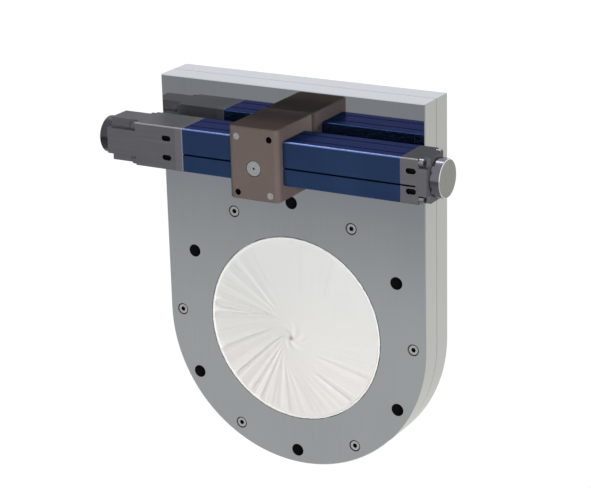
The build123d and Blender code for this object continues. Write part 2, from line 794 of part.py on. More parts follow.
def barrel(x_near, x_far):
    """Square cylinder barrel with one groove in front and two on top."""
    with BuildPart() as tube:
        with BuildSketch(across(min(x_near, x_far))):
            square_section(barrel_size, barrel_fillet)
            with Locations((drive_y, barrel_height)):
                Circle(cylinder_radius, mode=Mode.SUBTRACT)
            tie_holes(tie_screw_radius + fit_gap)
            with Locations((drive_y - barrel_size / 2, barrel_height - front_groove_drop)):
                Rectangle(2 * groove_depth, groove_width, mode=Mode.SUBTRACT)
            for offset_y in (-top_groove_offset, top_groove_offset):
                with Locations((drive_y + offset_y, barrel_height + barrel_size / 2)):
                    Rectangle(groove_width, 2 * groove_depth, mode=Mode.SUBTRACT)
        extrude(amount=abs(x_far - x_near))
    return tube.part


left_barrel = barrel(-block_half, -left_barrel_end)
left_barrel.label = "left_barrel"
export_step(left_barrel, "parts/left_barrel.step")

right_barrel = barrel(block_half, right_barrel_end)
right_barrel.label = "right_barrel"
export_step(right_barrel, "parts/right_barrel.step")

# Flange plate between the left barrel and its long cap
left_cap_start = left_barrel_end + flange_length
with BuildPart() as left_barrel_flange:
    with BuildSketch(across(-left_cap_start)):
        square_section(barrel_size, cap_fillet)
        with Locations((drive_y, barrel_height)):
            Circle(cylinder_radius, mode=Mode.SUBTRACT)
        tie_holes(tie_screw_radius + fit_gap)
    extrude(amount=flange_length)
    with BuildSketch(across(-left_barrel_end)):
        seal_outline()
    extrude(amount=-seal_depth, mode=Mode.SUBTRACT)
left_barrel_flange.part.label = "left_barrel_flange"
export_step(left_barrel_flange.part, "parts/left_barrel_flange.step")


def end_cap(side, start, step, end, slot_inset, recess_depth, bored):
    """End cap from start to end, with corner notches past step. A bored cap holds the cylinder's end."""
    port_x = side * (cylinder_end + recess_depth - port_inset)
    with BuildPart() as cap:
        with BuildSketch(across(side * start)):
            square_section(barrel_size, cap_fillet)
        extrude(amount=side * (step - start))
        with BuildSketch(across(side * step)):
            square_section(barrel_size, cap_fillet)
            with Locations((drive_y, barrel_height)):
                with GridLocations(barrel_size, barrel_size, 2, 2):
                    RectangleRounded(2 * cap_notch, 2 * cap_notch, cap_notch_fillet, mode=Mode.SUBTRACT)
        extrude(amount=side * (end - step))
        with BuildSketch(across(side * end)):
            with Locations((drive_y, barrel_height)):
                Circle(neck_radius)
        extrude(amount=side * (knob_gap - running_gap))
        with BuildSketch(across(side * end)):
            with Locations((drive_y, barrel_height)):
                Circle(journal_radius)
        extrude(amount=side * (knob_gap + journal_length))
        if bored:
            with BuildSketch(across(side * start)):
                with Locations((drive_y, barrel_height)):
                    Circle(cylinder_radius)
            extrude(amount=side * (cylinder_end - start), mode=Mode.SUBTRACT)
        else:
            with BuildSketch(across(side * cylinder_end)):
                with Locations((drive_y, barrel_height)):
                    Circle(cylinder_radius - fit_gap)
            extrude(amount=side * (start - cylinder_end))
        with BuildSketch(across(side * cylinder_end)):
            with Locations((drive_y, barrel_height)):
                Circle(end_recess_radius)
        extrude(amount=side * recess_depth, mode=Mode.SUBTRACT)
        with BuildSketch(across(side * cylinder_end)):
            with Locations((drive_y, barrel_height)):
                Circle(spindle_radius + fit_gap)
        extrude(amount=side * (end + knob_gap + journal_length - cylinder_end), mode=Mode.SUBTRACT)
        with BuildSketch(across(side * start)):
            with Locations((drive_y, barrel_height)):
                with GridLocations(2 * rod_corner, 2 * rod_corner, 2, 2):
                    Circle(tie_screw_radius + fit_gap)
        extrude(amount=side * (step - start), mode=Mode.SUBTRACT)
        with BuildSketch(across(side * start)):
            seal_outline()
        extrude(amount=side * seal_depth, mode=Mode.SUBTRACT)
        with BuildSketch(upright(drive_y - barrel_size / 2)):
            for offset_z in (-cap_slot_offset, cap_slot_offset):
                with Locations((side * (start + slot_inset), barrel_height + offset_z)):
                    SlotOverall(cap_slot_length, cap_slot_width)
        extrude(amount=-cap_slot_depth, mode=Mode.SUBTRACT)
        with BuildSketch(Plane.XY.offset(barrel_height - barrel_size / 2)):
            with Locations((port_x, drive_y)):
                Circle(port_radius)
        extrude(amount=port_depth, mode=Mode.SUBTRACT)
        with BuildSketch(Plane.XY.offset(barrel_height - barrel_size / 2)):
            with Locations((port_x, drive_y)):
                Circle(port_passage_radius)
        extrude(amount=barrel_size / 2 - end_recess_radius / 2, mode=Mode.SUBTRACT)
        if not bored:
            with BuildSketch(across(side * start)):
                with Locations((drive_y - barrel_size / 2, barrel_height - front_groove_drop)):
                    Rectangle(2 * groove_depth, groove_width)
            extrude(amount=side * cap_slit_length, mode=Mode.SUBTRACT)
    return cap.part


left_end_cap = end_cap(
    -1, left_cap_start, left_cap_step, left_cap_end, left_slot_inset, left_recess_depth, True
)
left_end_cap.label = "left_end_cap"
export_step(left_end_cap, "parts/left_end_cap.step")

right_end_cap = end_cap(
    1, right_barrel_end, right_cap_step, right_cap_end, right_slot_inset, right_recess_depth, False
)
right_end_cap.label = "right_end_cap"
export_step(right_end_cap, "parts/right_end_cap.step")

# Face seals of the barrels
with BuildPart() as barrel_seals:
    for seat, toward in (
        (block_half, -1),
        (-block_half, 1),
        (-left_barrel_end, -1),
        (-left_cap_start, -1),
        (right_barrel_end, 1),
    ):
        with BuildSketch(across(seat)):
            seal_outline(fit_gap)
        extrude(amount=toward * seal_depth)
barrel_seals.part.label = "barrel_seals"
export_step(barrel_seals.part, "parts/barrel_seals.step")


def tie_screws(side, step):
    """Four long cap screws from the cap's notches into the block."""
    length = step - block_half + tie_screw_reach
    with BuildPart() as screws:
        with BuildSketch(across(side * step)):
            with Locations((drive_y, barrel_height)):
                with GridLocations(2 * rod_corner, 2 * rod_corner, 2, 2):
                    Circle(tie_screw_radius)
        extrude(amount=-side * length)
        with BuildSketch(across(side * step)):
            with Locations((drive_y, barrel_height)):
                with GridLocations(2 * rod_corner, 2 * rod_corner, 2, 2):
                    Circle(tie_screw_head_radius)
        extrude(amount=side * tie_screw_head_height)
        with BuildSketch(across(side * (step + tie_screw_head_height))):
            with Locations((drive_y, barrel_height)):
                with GridLocations(2 * rod_corner, 2 * rod_corner, 2, 2):
                    RegularPolygon(tie_socket_radius, 6)
        extrude(amount=-side * tie_screw_head_height / 2, mode=Mode.SUBTRACT)
    return screws.part


left_tie_screws = tie_screws(-1, left_cap_step)
left_tie_screws.label = "left_tie_screws"
export_step(left_tie_screws, "parts/left_tie_screws.step")

right_tie_screws = tie_screws(1, right_cap_step)
right_tie_screws.label = "right_tie_screws"
export_step(right_tie_screws, "parts/right_tie_screws.step")

# Rack: a round bar cut off below its teeth, at its closed end of travel
rack_half = piston_inner + stroke / 2
rack_left = rack_centre - rack_half
rack_right = rack_centre + rack_half
rack_tip_z = rack_line - rack_addendum * rack_module
rack_root_z = rack_line + rack_dedendum * rack_module
gap_half = rack_pitch / 4 + tooth_backlash / 2
gap_slope = tan(radians(pressure_angle))
first_gap = (90 - pinion_phase) * pinion_teeth / 360 * rack_pitch
gap_steps = floor((first_gap - rack_left - rack_end_margin - gap_half) / rack_pitch)
gap_start = first_gap - gap_steps * rack_pitch
gap_count = floor((rack_right - rack_end_margin - gap_half - gap_start) / rack_pitch) + 1
with BuildPart() as rack:
    with BuildSketch(across(rack_left)):
        with Locations((drive_y, barrel_height)):
            Circle(piston_radius)
        with Locations((drive_y, rack_tip_z)):
            Rectangle(
                2 * cylinder_radius, 2 * cylinder_radius, align=(Align.CENTER, Align.MAX), mode=Mode.SUBTRACT
            )
    extrude(amount=2 * rack_half)
    with BuildSketch(upright(drive_y + cylinder_radius)):
        with Locations([(gap_start + step * rack_pitch, rack_line) for step in range(gap_count)]):
            Polygon(
                (-gap_half - 2 * rack_module * gap_slope, -2 * rack_module),
                (gap_half + 2 * rack_module * gap_slope, -2 * rack_module),
                (gap_half - (rack_root_z - rack_line) * gap_slope, rack_root_z - rack_line),
                (-gap_half + (rack_root_z - rack_line) * gap_slope, rack_root_z - rack_line),
                align=None,
            )
    extrude(amount=2 * cylinder_radius, mode=Mode.SUBTRACT)
    for rack_end, inward in ((rack_left, 1), (rack_right, -1)):
        with BuildSketch(across(rack_end)):
            with Locations((drive_y, barrel_height + piston_screw_rise)):
                Circle(piston_screw_radius + fit_gap)
        extrude(amount=inward * (piston_screw_reach + fit_gap), mode=Mode.SUBTRACT)
rack.part.label = "rack"
export_step(rack.part, "parts/rack.step")


def piston(side, inner_x):
    """Piston at one end of the rack, with a seal groove and a screw seat in its outer face."""
    groove_x = inner_x + side * (piston_length - piston_groove_width) / 2
    with BuildPart() as disc:
        with BuildSketch(across(inner_x)):
            with Locations((drive_y, barrel_height)):
                Circle(piston_radius)
        extrude(amount=side * piston_length)
        with BuildSketch(across(groove_x)):
            with Locations((drive_y, barrel_height)):
                Circle(cylinder_radius)
                Circle(piston_radius - piston_groove_depth, mode=Mode.SUBTRACT)
        extrude(amount=side * piston_groove_width, mode=Mode.SUBTRACT)
        with BuildSketch(across(inner_x)):
            with Locations((drive_y, barrel_height + piston_screw_rise)):
                Circle(piston_screw_radius + fit_gap)
        extrude(amount=side * piston_length, mode=Mode.SUBTRACT)
        with BuildSketch(across(inner_x + side * piston_length)):
            with Locations((drive_y, barrel_height + piston_screw_rise)):
                Circle(piston_screw_head_radius + fit_gap)
        extrude(amount=-side * piston_screw_head_height, mode=Mode.SUBTRACT)
    return disc.part


left_piston = piston(-1, rack_left)
left_piston.label = "left_piston"
export_step(left_piston, "parts/left_piston.step")

right_piston = piston(1, rack_right)
right_piston.label = "right_piston"
export_step(right_piston, "parts/right_piston.step")

piston_ends = ((-1, rack_left), (1, rack_right))
with BuildPart() as piston_seals:
    for side, inner_x in piston_ends:
        with BuildSketch(across(inner_x + side * ((piston_length - piston_groove_width) / 2 + fit_gap))):
            with Locations((drive_y, barrel_height)):
                Circle(cylinder_radius - fit_gap)
                Circle(piston_radius - piston_groove_depth + fit_gap, mode=Mode.SUBTRACT)
        extrude(amount=side * (piston_groove_width - 2 * fit_gap))
piston_seals.part.label = "piston_seals"
export_step(piston_seals.part, "parts/piston_seals.step")

with BuildPart() as piston_screws:
    for side, inner_x in piston_ends:
        seat_x = inner_x + side * (piston_length - piston_screw_head_height)
        with BuildSketch(across(seat_x)):
            with Locations((drive_y, barrel_height + piston_screw_rise)):
                Circle(piston_screw_radius)
        extrude(amount=-side * (piston_length - piston_screw_head_height + piston_screw_reach))
        with BuildSketch(across(seat_x)):
            with Locations((drive_y, barrel_height + piston_screw_rise)):
                Circle(piston_screw_head_radius)
        extrude(amount=side * piston_screw_head_height)
piston_screws.part.label = "piston_screws"
export_step(piston_screws.part, "parts/piston_screws.step")


def stop_knob(side, cap_end, length):
    """Round end piece that turns on the cap's journal."""
    near = cap_end + knob_gap
    with BuildPart() as knob:
        with BuildSketch(across(side * near)):
            with Locations((drive_y, barrel_height)):
                Circle(knob_radius)
        extrude(amount=side * length)
        far_face = knob.faces().sort_by(Axis.X)[-1 if side > 0 else 0]
        chamfer(far_face.edges(), knob_edge)
        with BuildSketch(across(side * near)):
            with Locations((drive_y, barrel_height)):
                Circle(journal_radius + fit_gap)
        extrude(amount=side * (journal_length + running_gap), mode=Mode.SUBTRACT)
        with BuildSketch(across(side * near)):
            with Locations((drive_y, barrel_height)):
                Circle(spindle_radius + fit_gap)
        extrude(amount=side * (length - knob_end_wall), mode=Mode.SUBTRACT)
    return knob.part


def stop_spindle(side, cap_end, length):
    """End stop inside the cap, at its innermost setting."""
    tip = cylinder_end - stop_gap
    tail = cap_end + knob_gap + length - knob_end_wall - spindle_travel - running_gap
    with BuildPart() as spindle:
        with BuildSketch(across(side * tip)):
            with Locations((drive_y, barrel_height)):
                Circle(spindle_radius)
        extrude(amount=side * (tail - tip))
    return spindle.part


left_stop_knob = stop_knob(-1, left_cap_end, left_knob_length)
left_stop_knob.label = "left_stop_knob"
export_step(left_stop_knob, "parts/left_stop_knob.step")

right_stop_knob = stop_knob(1, right_cap_end, right_knob_length)
right_stop_knob.label = "right_stop_knob"
export_step(right_stop_knob, "parts/right_stop_knob.step")

left_stop_spindle = stop_spindle(-1, left_cap_end, left_knob_length)
left_stop_spindle.label = "left_stop_spindle"
export_step(left_stop_spindle, "parts/left_stop_spindle.step")

right_stop_spindle = stop_spindle(1, right_cap_end, right_knob_length)
right_stop_spindle.label = "right_stop_spindle"
export_step(right_stop_spindle, "parts/right_stop_spindle.step")
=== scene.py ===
import bpy
import json
import random
from math import atan2, cos, degrees, exp, pi, radians, sin, sqrt
from mathutils import Matrix, Vector


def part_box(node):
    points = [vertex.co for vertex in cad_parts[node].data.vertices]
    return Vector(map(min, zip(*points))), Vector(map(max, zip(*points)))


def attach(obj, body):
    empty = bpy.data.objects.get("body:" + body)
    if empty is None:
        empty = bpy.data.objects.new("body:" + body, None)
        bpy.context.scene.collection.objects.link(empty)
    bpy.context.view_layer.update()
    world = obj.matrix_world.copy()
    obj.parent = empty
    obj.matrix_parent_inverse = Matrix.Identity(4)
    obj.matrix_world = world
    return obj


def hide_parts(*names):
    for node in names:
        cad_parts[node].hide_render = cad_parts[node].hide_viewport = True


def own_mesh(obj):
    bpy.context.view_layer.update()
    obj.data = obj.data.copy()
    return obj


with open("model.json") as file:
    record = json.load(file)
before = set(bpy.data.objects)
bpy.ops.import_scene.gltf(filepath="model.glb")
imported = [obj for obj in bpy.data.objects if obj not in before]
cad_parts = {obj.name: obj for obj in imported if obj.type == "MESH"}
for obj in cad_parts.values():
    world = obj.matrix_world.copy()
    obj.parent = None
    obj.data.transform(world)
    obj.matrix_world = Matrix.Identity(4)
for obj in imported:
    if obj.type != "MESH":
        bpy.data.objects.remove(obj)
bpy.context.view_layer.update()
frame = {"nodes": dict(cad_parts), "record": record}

# Metres, in the part's frame: Y along the bore, Z up, origin at the bore's centre on the rear face
MM = 0.001


def box(node):
    """Lowest and highest corner of a CAD node at rest."""
    low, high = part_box(node)
    return Vector(low), Vector(high)


# Camera, at the photograph's angle; the lens is in millimetres, for a sensor 36 mm wide
camera_target = Vector((3.8 * MM, -50.0 * MM, 93.3 * MM))
camera_azimuth = radians(30.01)
camera_elevation = radians(18.69)
camera_roll = radians(-1.51)
camera_distance = 2.046
camera_lens = 122.34
camera_sensor = 36.0

# Corners of the pieces that the finishes, the sleeve and the studio follow
housing_low, housing_high = box("front_housing")
_, rear_housing_high = box("rear_housing")
shaft_low, shaft_high = box("drive_shaft")
block_low, block_high = box("drive_block")
barrel_low, barrel_high = box("left_barrel")
flange_low, flange_high = box("left_barrel_flange")
right_cap_low, right_cap_high = box("right_end_cap")
knob_low, knob_high = box("right_stop_knob")
sleeve_low, _ = box("iris_sleeve")
rotor_clamp_low, _ = box("rotor_clamp_ring")

# Housing: its faces, and the radii within which its holes, screw pockets and hex sockets are painted dark
# as shade
front_y = housing_low.y
rear_y = rear_housing_high.y
floor_z = housing_low.z
bolt_count = 6
bolt_circle = 136.75 * MM
hole_radius = 6.9 * MM
pocket_radius = 6.35 * MM
socket_radius = 2.85 * MM
socket_floor = front_y + 0.65 * MM

# Drive block, with two tapped holes in its front face
shaft_middle = (shaft_low + shaft_high) / 2
tapped_across = 18.3 * MM
tapped_holes = ((tapped_across, block_high.z - 10.5 * MM), (-tapped_across, block_low.z + 6.8 * MM))
tapped_radius = 3.35 * MM

# Barrels: a groove along the front and two along the top, painted dark as shade, and the width of the
# highlight painted along the upper front edge
drive_front = barrel_low.y
drive_top = barrel_high.z
barrel_middle = (barrel_low + barrel_high) / 2
front_groove_z = barrel_middle.z - 4.5 * MM
top_groove_offset = 10.0 * MM
groove_half = 0.9 * MM
edge_highlight_width = 1.05 * MM

# End caps: two rows of sensor slots, a slit on the right cap, and a lip on the left barrel's flange
slot_middles = (right_cap_high.x - 20.3 * MM, flange_low.x - 11.0 * MM)
slot_offset = 10.0 * MM
slot_half_height = 2.85 * MM
slot_half_length = 5.4 * MM
slot_depth = 5.2 * MM
slit_middle = right_cap_high.x - 23.5 * MM
slit_half_length = 8.2 * MM
left_cap_end = flange_low.x - 0.4 * MM
lip_middle = flange_high.x - 0.5 * MM
lip_half = 0.5 * MM

# Stop knobs: the radii at which the painted highlight on the edge of the face, and the side with its
# painted shade, begin
knob_middle = (knob_low + knob_high) / 2
knob_radius = 19.2 * MM
knob_edge_from = knob_radius - 0.8 * MM
knob_side_from = knob_radius - 0.3 * MM

# A finish changes over this width, and this much of a piece's depth still counts as its face
soft_edge = 0.1 * MM
face_depth = 0.15 * MM

# Sleeve: its knot, the rolled hem in the mouth, the rims of its two layers and the lining along the wall
knot = Vector((-0.6 * MM, sleeve_low.y + 0.4 * MM, -8.2 * MM))
bead_radius = 1.1 * MM
bead_ring_radius = 98.1 * MM
front_rim_radius = bead_ring_radius - 0.6 * bead_radius
front_rim_y = front_y - 0.1 * MM
rear_rim_radius = 96.4 * MM
rear_rim_y = rotor_clamp_low.y - 0.8 * MM
rear_knot_y = knot.y + 3.2 * MM
lining_radius = 97.0 * MM
gore_count = 20

# Pull of the twist: each pleat swirls round the knot, most of all in three lobes
swirl_circle = 14 * MM
swirl_lobe = 9 * MM
swirl_lobe_turn = radians(58)
swirl_core = 8.0 * MM

# Pleats: the rise of one of height 1, its steep and its gentle side, its reach and how it fades;
# the pleats gather into a small star at the knot
pleat_height = 1.75 * MM
steep_side = 2.2
gentle_side = 0.8
pleat_reach = 2.5
fade_share = 0.18
hem_share = 0.05
star_height = 0.45 * MM
star_points = 13


class Signal:
    """An output of a finish's node, which takes part in arithmetic as a number does."""

    def __init__(self, finish, socket):
        self.finish = finish
        self.socket = socket

    def calculate(self, operation, *values):
        settings = {"operation": operation}
        return self.finish.node("ShaderNodeMath", settings, dict(enumerate(values)))

    def __add__(self, other):
        return self.calculate("ADD", self, other)

    def __sub__(self, other):
        return self.calculate("SUBTRACT", self, other)

    def __rsub__(self, other):
        return self.calculate("SUBTRACT", other, self)

    def __mul__(self, other):
        return self.calculate("MULTIPLY", self, other)

    __radd__ = __add__
    __rmul__ = __mul__

    def __abs__(self):
        return self.calculate("ABSOLUTE", self)

    def sine(self):
        return self.calculate("SINE", self)

    def cosine(self):
        return self.calculate("COSINE", self)

    def root(self):
        return self.calculate("SQRT", self)

    def remainder(self, step):
        """What is left of the signal above the nearest whole number of steps below it."""
        return self.calculate("FLOORED_MODULO", self, step)

    def turn(self, across):
        """Angle of the point that lies this signal up and so far across."""
        return self.calculate("ARCTAN2", self, across)

    def at_least(self, other):
        return self.calculate("MAXIMUM", self, other)


class Finish:
    """A node material, built up from signals and given its shader last."""

    def __init__(self, name, owner=None):
        self.material = owner or bpy.data.materials.new(name)
        self.material.use_nodes = True
        self.tree = self.material.node_tree
        self.tree.nodes.clear()

    def node(self, kind, settings=None, inputs=None, output=0):
        """Adds a node: its settings first, then the values or links of its sockets."""
        made = self.tree.nodes.new(kind)
        for name, value in (settings or {}).items():
            setattr(made, name, value)
        for name, value in (inputs or {}).items():
            socket = made.inputs[name]
            if isinstance(value, Signal):
                self.tree.links.new(value.socket, socket)
            elif socket.type == "RGBA" and len(value) == 3:
                socket.default_value = (*value, 1.0)
            else:
                socket.default_value = value
        return Signal(self, made.outputs[output]) if made.outputs else None

    def place(self):
        """Position on the piece, in metres in the part's frame at rest."""
        return self.node("ShaderNodeTexCoord", output="Object")

    def axes(self, vector):
        """The three numbers of a vector."""
        split = self.node("ShaderNodeSeparateXYZ", inputs={0: vector})
        return [Signal(self, output) for output in split.socket.node.outputs]

    def ray(self, kind):
        """1 for rays of one kind, such as Camera or Glossy, and 0 for all others."""
        return self.node("ShaderNodeLightPath", output=f"Is {kind} Ray")

    def stretched(self, vector, factors):
        return self.node("ShaderNodeVectorMath", {"operation": "MULTIPLY"}, {0: vector, 1: factors})

    def noise(self, vector, scale, detail):
        inputs = {"Vector": vector, "Scale": scale, "Detail": detail, "Roughness": 0.55}
        return self.node("ShaderNodeTexNoise", {"noise_dimensions": "3D"}, inputs)

    def mask(self, signal, start, end):
        """0 below start, 1 above end, smooth between them."""
        settings = {"interpolation_type": "SMOOTHSTEP", "clamp": True}
        inputs = {"Value": signal, "From Min": start, "From Max": end, "To Min": 0.0, "To Max": 1.0}
        return self.node("ShaderNodeMapRange", settings, inputs)

    def above(self, signal, limit):
        """0 below limit and 1 above it, with a narrow edge."""
        return self.mask(signal, limit, limit + soft_edge)

    def below(self, signal, limit):
        """1 below limit and 0 above it, with a narrow edge."""
        return 1.0 - self.above(signal, limit)

    def blend(self, share, first, second):
        """Colour between two colours."""
        inputs = {0: share, 6: first, 7: second}
        return self.node("ShaderNodeMix", {"data_type": "RGBA"}, inputs, output=2)

    def bump(self, height, distance, strength):
        inputs = {"Height": height, "Distance": distance, "Strength": strength}
        return self.node("ShaderNodeBump", None, inputs)

    def glow(self, colour, strength):
        return self.node("ShaderNodeEmission", None, {"Color": colour, "Strength": strength})

    def ends_in(self, shader, kind="ShaderNodeOutputMaterial"):
        """Links the last shader to the output."""
        self.node(kind, None, {"Surface": shader})
        return self.material

    def surface(self, **sockets):
        """Ends the finish with the Principled shader; names use _ for a space."""
        inputs = {name.replace("_", " "): value for name, value in sockets.items()}
        return self.ends_in(self.node("ShaderNodeBsdfPrincipled", None, inputs))


def between(share, low, high):
    """Number that goes from low to high as share goes from 0 to 1."""
    return share * (high - low) + low


def diagonal(across, along):
    """Length of the straight line across one way and along the other."""
    return (across * across + along * along).root()


def from_bolt_axis(x, z, first_turn):
    """Distance to the nearest of the axes on the bolt circle, the first at first_turn."""
    step = 2 * pi / bolt_count
    turned = z.turn(x) + (step / 2 - first_turn)
    folded = turned.remainder(step) - step / 2
    radius = diagonal(x, z)
    return diagonal(radius * folded.cosine() - bolt_circle, radius * folded.sine())


def rings_round(distance, pitch):
    """Fine turned rings, from 0 to 1, at a distance from the axis that they go round."""
    return (distance * (2 * pi / pitch)).sine() * 0.5 + 0.5


def shade(colour, factor):
    """A colour made lighter or darker."""
    return tuple(channel * factor for channel in colour)


def plate_finish():
    """Ground and polished housing plate: a near mirror with faint grinding lines, and painted shade in its
    holes and screw pockets.
    """
    finish = Finish("plate_polish")
    place = finish.place()
    x, y, z = finish.axes(place)
    hole = finish.below(from_bolt_axis(x, z, radians(30)), hole_radius)
    pocket = finish.below(from_bolt_axis(x, z, 0.0), pocket_radius)
    inside = finish.above(y, front_y + face_depth) * finish.below(y, rear_y - face_depth - soft_edge)
    # Painted shade: inside the bolt holes, and a little less in the gaps of the screw pockets, the plate is
    # coloured near black and matt
    dark = hole.at_least(pocket * 0.8) * inside
    lines = finish.noise(finish.stretched(place, (900.0, 900.0, 14.0)), scale=1.0, detail=2.0)
    clouds = finish.noise(place, scale=9.0, detail=2.0)
    tone = lines * 0.35 + clouds * 0.65
    silver = (0.655, 0.662, 0.668)
    ground = finish.blend(finish.mask(tone, 0.3, 0.7), shade(silver, 0.97), shade(silver, 1.03))
    return finish.surface(
        Base_Color=finish.blend(dark, ground, (0.008, 0.008, 0.009)),
        Metallic=1.0 - dark * 0.95,
        Roughness=between(finish.mask(tone, 0.3, 0.75), 0.022, 0.05) + dark * 0.7,
        Specular_IOR_Level=0.05,
        Normal=finish.bump(lines, distance=0.01 * MM, strength=0.12),
    )


def machined_finish(name, colour):
    """Bare machined metal: fine turning marks and a little tarnish."""
    finish = Finish(name)
    place = finish.place()
    marks = finish.noise(finish.stretched(place, (300.0, 2400.0, 300.0)), scale=1.0, detail=2.0)
    tarnish = finish.noise(place, scale=60.0, detail=3.0)
    return finish.surface(
        Base_Color=finish.blend(finish.mask(tarnish, 0.35, 0.75), colour, shade(colour, 0.86)),
        Metallic=1.0,
        Roughness=between(marks, 0.25, 0.4),
        Normal=finish.bump(marks, distance=0.02 * MM, strength=0.2),
    )


def screw_finish():
    """Bright screw steel: painted shade, near black in the hex sockets and darker on the right cap, and
    coated on the left cap.
    """
    finish = Finish("screw_steel")
    place = finish.place()
    x, y, z = finish.axes(place)
    # Painted shade: the hex sockets are coloured near black
    socket = finish.below(from_bolt_axis(x, z, 0.0), socket_radius) * finish.above(y, socket_floor)
    on_drive = finish.above(z, block_low.z)
    coated = finish.below(x, left_cap_end) * on_drive
    # Painted shade: the screws on the right cap are coloured a darker steel
    painted_shade = finish.above(x, right_cap_low.x) * on_drive
    steel = finish.blend(painted_shade, (0.74, 0.72, 0.69), (0.27, 0.265, 0.27))
    head = finish.blend(coated, steel, (0.1, 0.098, 0.108))
    marks = finish.noise(place, scale=700.0, detail=2.0)
    return finish.surface(
        Base_Color=finish.blend(socket, head, (0.002, 0.002, 0.002)),
        Metallic=1.0 - socket.at_least(coated) * 0.9,
        Roughness=between(marks, 0.2, 0.34) + coated * 0.2,
        Specular_IOR_Level=0.1,
        Normal=finish.bump(marks, distance=0.02 * MM, strength=0.2),
    )


def painted_edge_highlight(finish, y, z):
    """1 along the rounded upper front edge of the drive, where a highlight is painted."""
    return finish.below(diagonal(y - drive_front, drive_top - z), edge_highlight_width)


def front_groove(finish, z):
    """1 at the height of the groove that runs along the front of the drive."""
    return finish.below(abs(z - front_groove_z), groove_half)


def cap_finish():
    """Grey coated end caps: a fine cast grain, painted shade in the slots and on the top of the right cap,
    and a painted highlight that makes the flange paler and its lip a light line.
    """
    finish = Finish("cap_coating")
    place = finish.place()
    x, y, z = finish.axes(place)
    rows = finish.below(abs(abs(z - barrel_middle.z) - slot_offset), slot_half_height)
    spans = [finish.below(abs(x - middle), slot_half_length) for middle in slot_middles]
    slit = front_groove(finish, z) * finish.below(abs(x - slit_middle), slit_half_length)
    deep = finish.above(y, drive_front + face_depth) * finish.below(y, drive_front + slot_depth)
    # Painted shade: the sensor slots and the slit are coloured near black below the face
    dark = (rows * spans[0].at_least(spans[1])).at_least(slit) * deep
    grain = finish.noise(place, scale=900.0, detail=2.0)
    streaks = finish.noise(finish.stretched(place, (12.0, 700.0, 700.0)), scale=1.0, detail=2.0)
    tone = finish.mask(grain * 0.3 + streaks * 0.7, 0.3, 0.72)
    grey = finish.blend(tone, (0.105, 0.102, 0.114), (0.126, 0.123, 0.136))
    # Painted shade: the top of the right cap is coloured darker
    right_top_shade = finish.above(x, block_high.x) * finish.above(z, drive_top - 0.3 * MM)
    grey = finish.blend(right_top_shade, grey, (0.07, 0.068, 0.076))
    # Painted highlight: the flange band is paler, and its lip a light bluish line
    flange = finish.above(x, left_cap_end - soft_edge) * finish.below(x, block_low.x)
    grey = finish.blend(flange * 0.5, grey, (0.16, 0.155, 0.175))
    lip = finish.below(abs(x - lip_middle), lip_half)
    grey = finish.blend(lip, grey, (0.22, 0.22, 0.3))
    # Painted highlight: a pale, metallic strip along the rounded upper front edge
    edge = painted_edge_highlight(finish, y, z)
    with_edge_highlight = finish.blend(edge, grey, (0.3, 0.285, 0.3))
    return finish.surface(
        Base_Color=finish.blend(dark, with_edge_highlight, (0.003, 0.003, 0.003)),
        Metallic=edge * 0.8,
        Roughness=between(grain, 0.34, 0.46),
        Specular_IOR_Level=0.1,
        Normal=finish.bump(grain, distance=0.08 * MM, strength=0.25),
    )


def barrel_finish():
    """Blue anodised barrels: fine draw lines along the drive, painted shade in the grooves, a top painted a
    deeper blue as painted light, and a blue gloss.
    """
    finish = Finish("barrel_anodised")
    place = finish.place()
    x, y, z = finish.axes(place)
    on_front = front_groove(finish, z) * finish.above(y, drive_front + face_depth)
    on_top = finish.below(abs(abs(y - barrel_middle.y) - top_groove_offset), groove_half)
    # Painted shade: the grooves are coloured near black
    groove = on_front.at_least(on_top * finish.below(z, drive_top - 0.25 * MM))
    lines = finish.noise(finish.stretched(place, (6.0, 1500.0, 1500.0)), scale=1.0, detail=2.0)
    clouds = finish.noise(place, scale=22.0, detail=3.0)
    tone = finish.mask(lines * 0.4 + clouds * 0.6, 0.3, 0.72)
    blue = finish.blend(tone, (0.032, 0.063, 0.15), (0.04, 0.077, 0.183))
    # Painted light: the top face is coloured a deeper, clearer blue than the front
    top = finish.above(z, drive_top - 0.3 * MM)
    blue = finish.blend(top, blue, (0.014, 0.064, 0.185))
    # Painted highlight: a pale blue strip along the rounded upper front edge
    with_edge_highlight = finish.blend(painted_edge_highlight(finish, y, z), blue, (0.2, 0.26, 0.5))
    return finish.surface(
        Base_Color=finish.blend(groove, with_edge_highlight, (0.004, 0.008, 0.02)),
        Metallic=0.75,
        Roughness=between(lines, 0.2, 0.28),
        Specular_IOR_Level=0.2,
        Specular_Tint=(0.06, 0.18, 0.38),
        Normal=finish.bump(lines, distance=0.03 * MM, strength=0.25),
    )


def knob_finish(name, side, face, rim):
    """Turned stop knob: fine rings on the face, a painted highlight on the edge round it, and a side
    painted darker as shade.
    """
    finish = Finish(name)
    place = finish.place()
    x, y, z = finish.axes(place)
    distance = diagonal(y - knob_middle.y, z - knob_middle.z)
    # Painted shade: the side is coloured darker than the face; painted highlight: the edge of the face is
    # coloured bright
    outside = finish.mask(distance, knob_side_from, knob_side_from + 0.04 * MM)
    edge = finish.mask(distance, knob_edge_from - 0.05 * MM, knob_edge_from + 0.05 * MM)
    rings = rings_round(distance, 1.1 * MM)
    streaks = finish.noise(finish.stretched(place, (400.0, 260.0, 30.0)), scale=1.0, detail=3.0)
    turned = finish.blend(rings * 0.3 + streaks * 0.7, shade(face, 0.86), shade(face, 1.12))
    return finish.surface(
        Base_Color=finish.blend(outside, finish.blend(edge, turned, rim), side),
        Metallic=1.0,
        Roughness=between(streaks, 0.2, 0.34) - edge * 0.08,
        Normal=finish.bump(rings * (1.0 - edge), distance=0.04 * MM, strength=0.25),
    )


